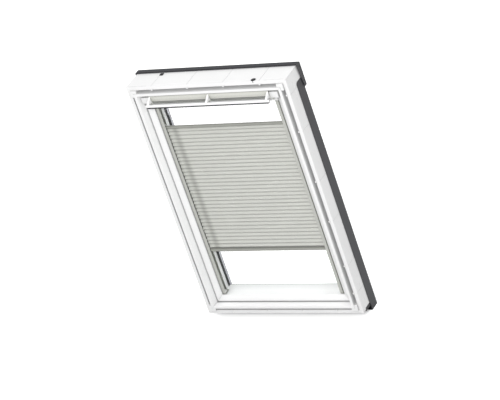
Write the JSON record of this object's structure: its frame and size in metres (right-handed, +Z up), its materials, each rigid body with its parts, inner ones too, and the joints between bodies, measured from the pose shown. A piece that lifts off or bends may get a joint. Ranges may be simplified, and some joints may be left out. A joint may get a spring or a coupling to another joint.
{
  "type": "roof window with pleated blind",
  "caption": "White centre-pivot roof window with a top control bar, a ventilation flap, dark outer cladding and a honeycomb blind that slides in side rails.",
  "frame": {"origin": "middle of the sill face, the flat underside of the frame, between the room edge and the sill gasket", "axes": "+X to the right seen from the room, +Y out to the weather, +Z up the slope, with the window stood upright"},
  "size_m": [0.79, 0.1738, 1.219],
  "materials": {
    "white_lacquer": "smooth white lacquer, satin",
    "white_plastic": "moulded, fine grain",
    "flap_white": "warm white, satin",
    "bar_white": "white powder coat",
    "grey_sheet": "dark grey coated sheet",
    "black_rubber": "matt",
    "zinc_steel": "zinc plated",
    "spacer_metal": "mill finish, fine dots",
    "clear_glass": "clear",
    "filter_foam": "open foam",
    "blind_profile": "pale grey beige powder coat",
    "pleated_cloth": "pale grey woven, creased",
    "cord_yarn": "braided"
  },
  "bodies": {
    "frame": {"frame_top": "white_lacquer", "frame_bottom": "white_lacquer", "frame_left": "white_lacquer", "frame_right": "white_lacquer", "corner_key_top_left": "white_plastic", "corner_key_top_right": "white_plastic", "corner_key_bottom_left": "white_plastic", "corner_key_bottom_right": "white_plastic", "cable_plug": "black_rubber", "frame_seal": "black_rubber", "cladding_left": "grey_sheet", "cladding_right": "grey_sheet", "cladding_bottom": "grey_sheet", "sill_gasket": "black_rubber", "hood": "grey_sheet", "hinge_plate_left": "zinc_steel", "hinge_plate_right": "zinc_steel", "striker_plate": "zinc_steel"},
    "sash": {"sash_top": "white_lacquer", "sash_bottom": "white_lacquer", "sash_left": "white_lacquer", "sash_right": "white_lacquer", "hinge_bush_left": "white_plastic", "hinge_bush_right": "white_plastic", "lock_case": "zinc_steel", "air_filter": "filter_foam", "inner_pane": "clear_glass", "outer_pane": "clear_glass", "pane_spacer": "spacer_metal", "inner_gasket": "black_rubber", "outer_gasket": "black_rubber", "sash_cladding_top": "grey_sheet", "sash_cladding_bottom": "grey_sheet", "sash_cladding_left": "grey_sheet", "sash_cladding_right": "grey_sheet", "flap_pin": "zinc_steel", "vent_end_left": "flap_white", "vent_end_right": "flap_white", "rail_left": "blind_profile", "rail_right": "blind_profile", "cord_holder_top_left": "white_plastic", "cord_holder_top_right": "white_plastic", "cord_holder_bottom_left": "white_plastic", "cord_holder_bottom_right": "white_plastic", "cord_left": "cord_yarn", "cord_right": "cord_yarn"},
    "control_bar": {"control_bar": "bar_white", "vent_flap": "flap_white", "bar_bracket_left": "bar_white", "bar_bracket_middle": "bar_white", "bar_bracket_right": "bar_white"},
    "latch": {"lock_latch": "zinc_steel"},
    "blind_top_bar": {"blind_top_bar": "blind_profile", "top_bar_shoe_left": "white_plastic", "top_bar_shoe_right": "white_plastic", "blind_cloth": "pleated_cloth"},
    "blind_bottom_bar": {"blind_bottom_bar": "blind_profile", "bottom_bar_shoe_left": "white_plastic", "bottom_bar_shoe_right": "white_plastic"}
  },
  "joints": [
    {"name": "sash_pivot", "type": "hinge", "parent": "frame", "child": "sash", "pos_m": [0, 0.059, 0.58745], "axis": [1, 0, 0], "range_deg": [0, 160]},
    {"name": "control_bar_tilt", "type": "hinge", "parent": "sash", "child": "control_bar", "pos_m": [0, 0.001, 1.09], "axis": [1, 0, 0], "range_deg": [0, 30]},
    {"name": "latch_slide", "type": "slide", "parent": "sash", "child": "latch", "axis": [0, 0, 1], "range_m": [-0.0042, 0]},
    {"name": "top_bar_slide", "type": "slide", "parent": "sash", "child": "blind_top_bar", "axis": [0, 0, 1], "range_m": [-0.1, 0.092]},
    {"name": "bottom_bar_slide", "type": "slide", "parent": "blind_top_bar", "child": "blind_bottom_bar", "axis": [0, 0, 1], "range_m": [-0.11, 0.48], "deforming": ["blind_cloth"]}
  ],
  "couplings": [
    {"joint": "latch_slide", "follows": "control_bar_tilt", "m_per_rad": -0.00764}
  ]
}
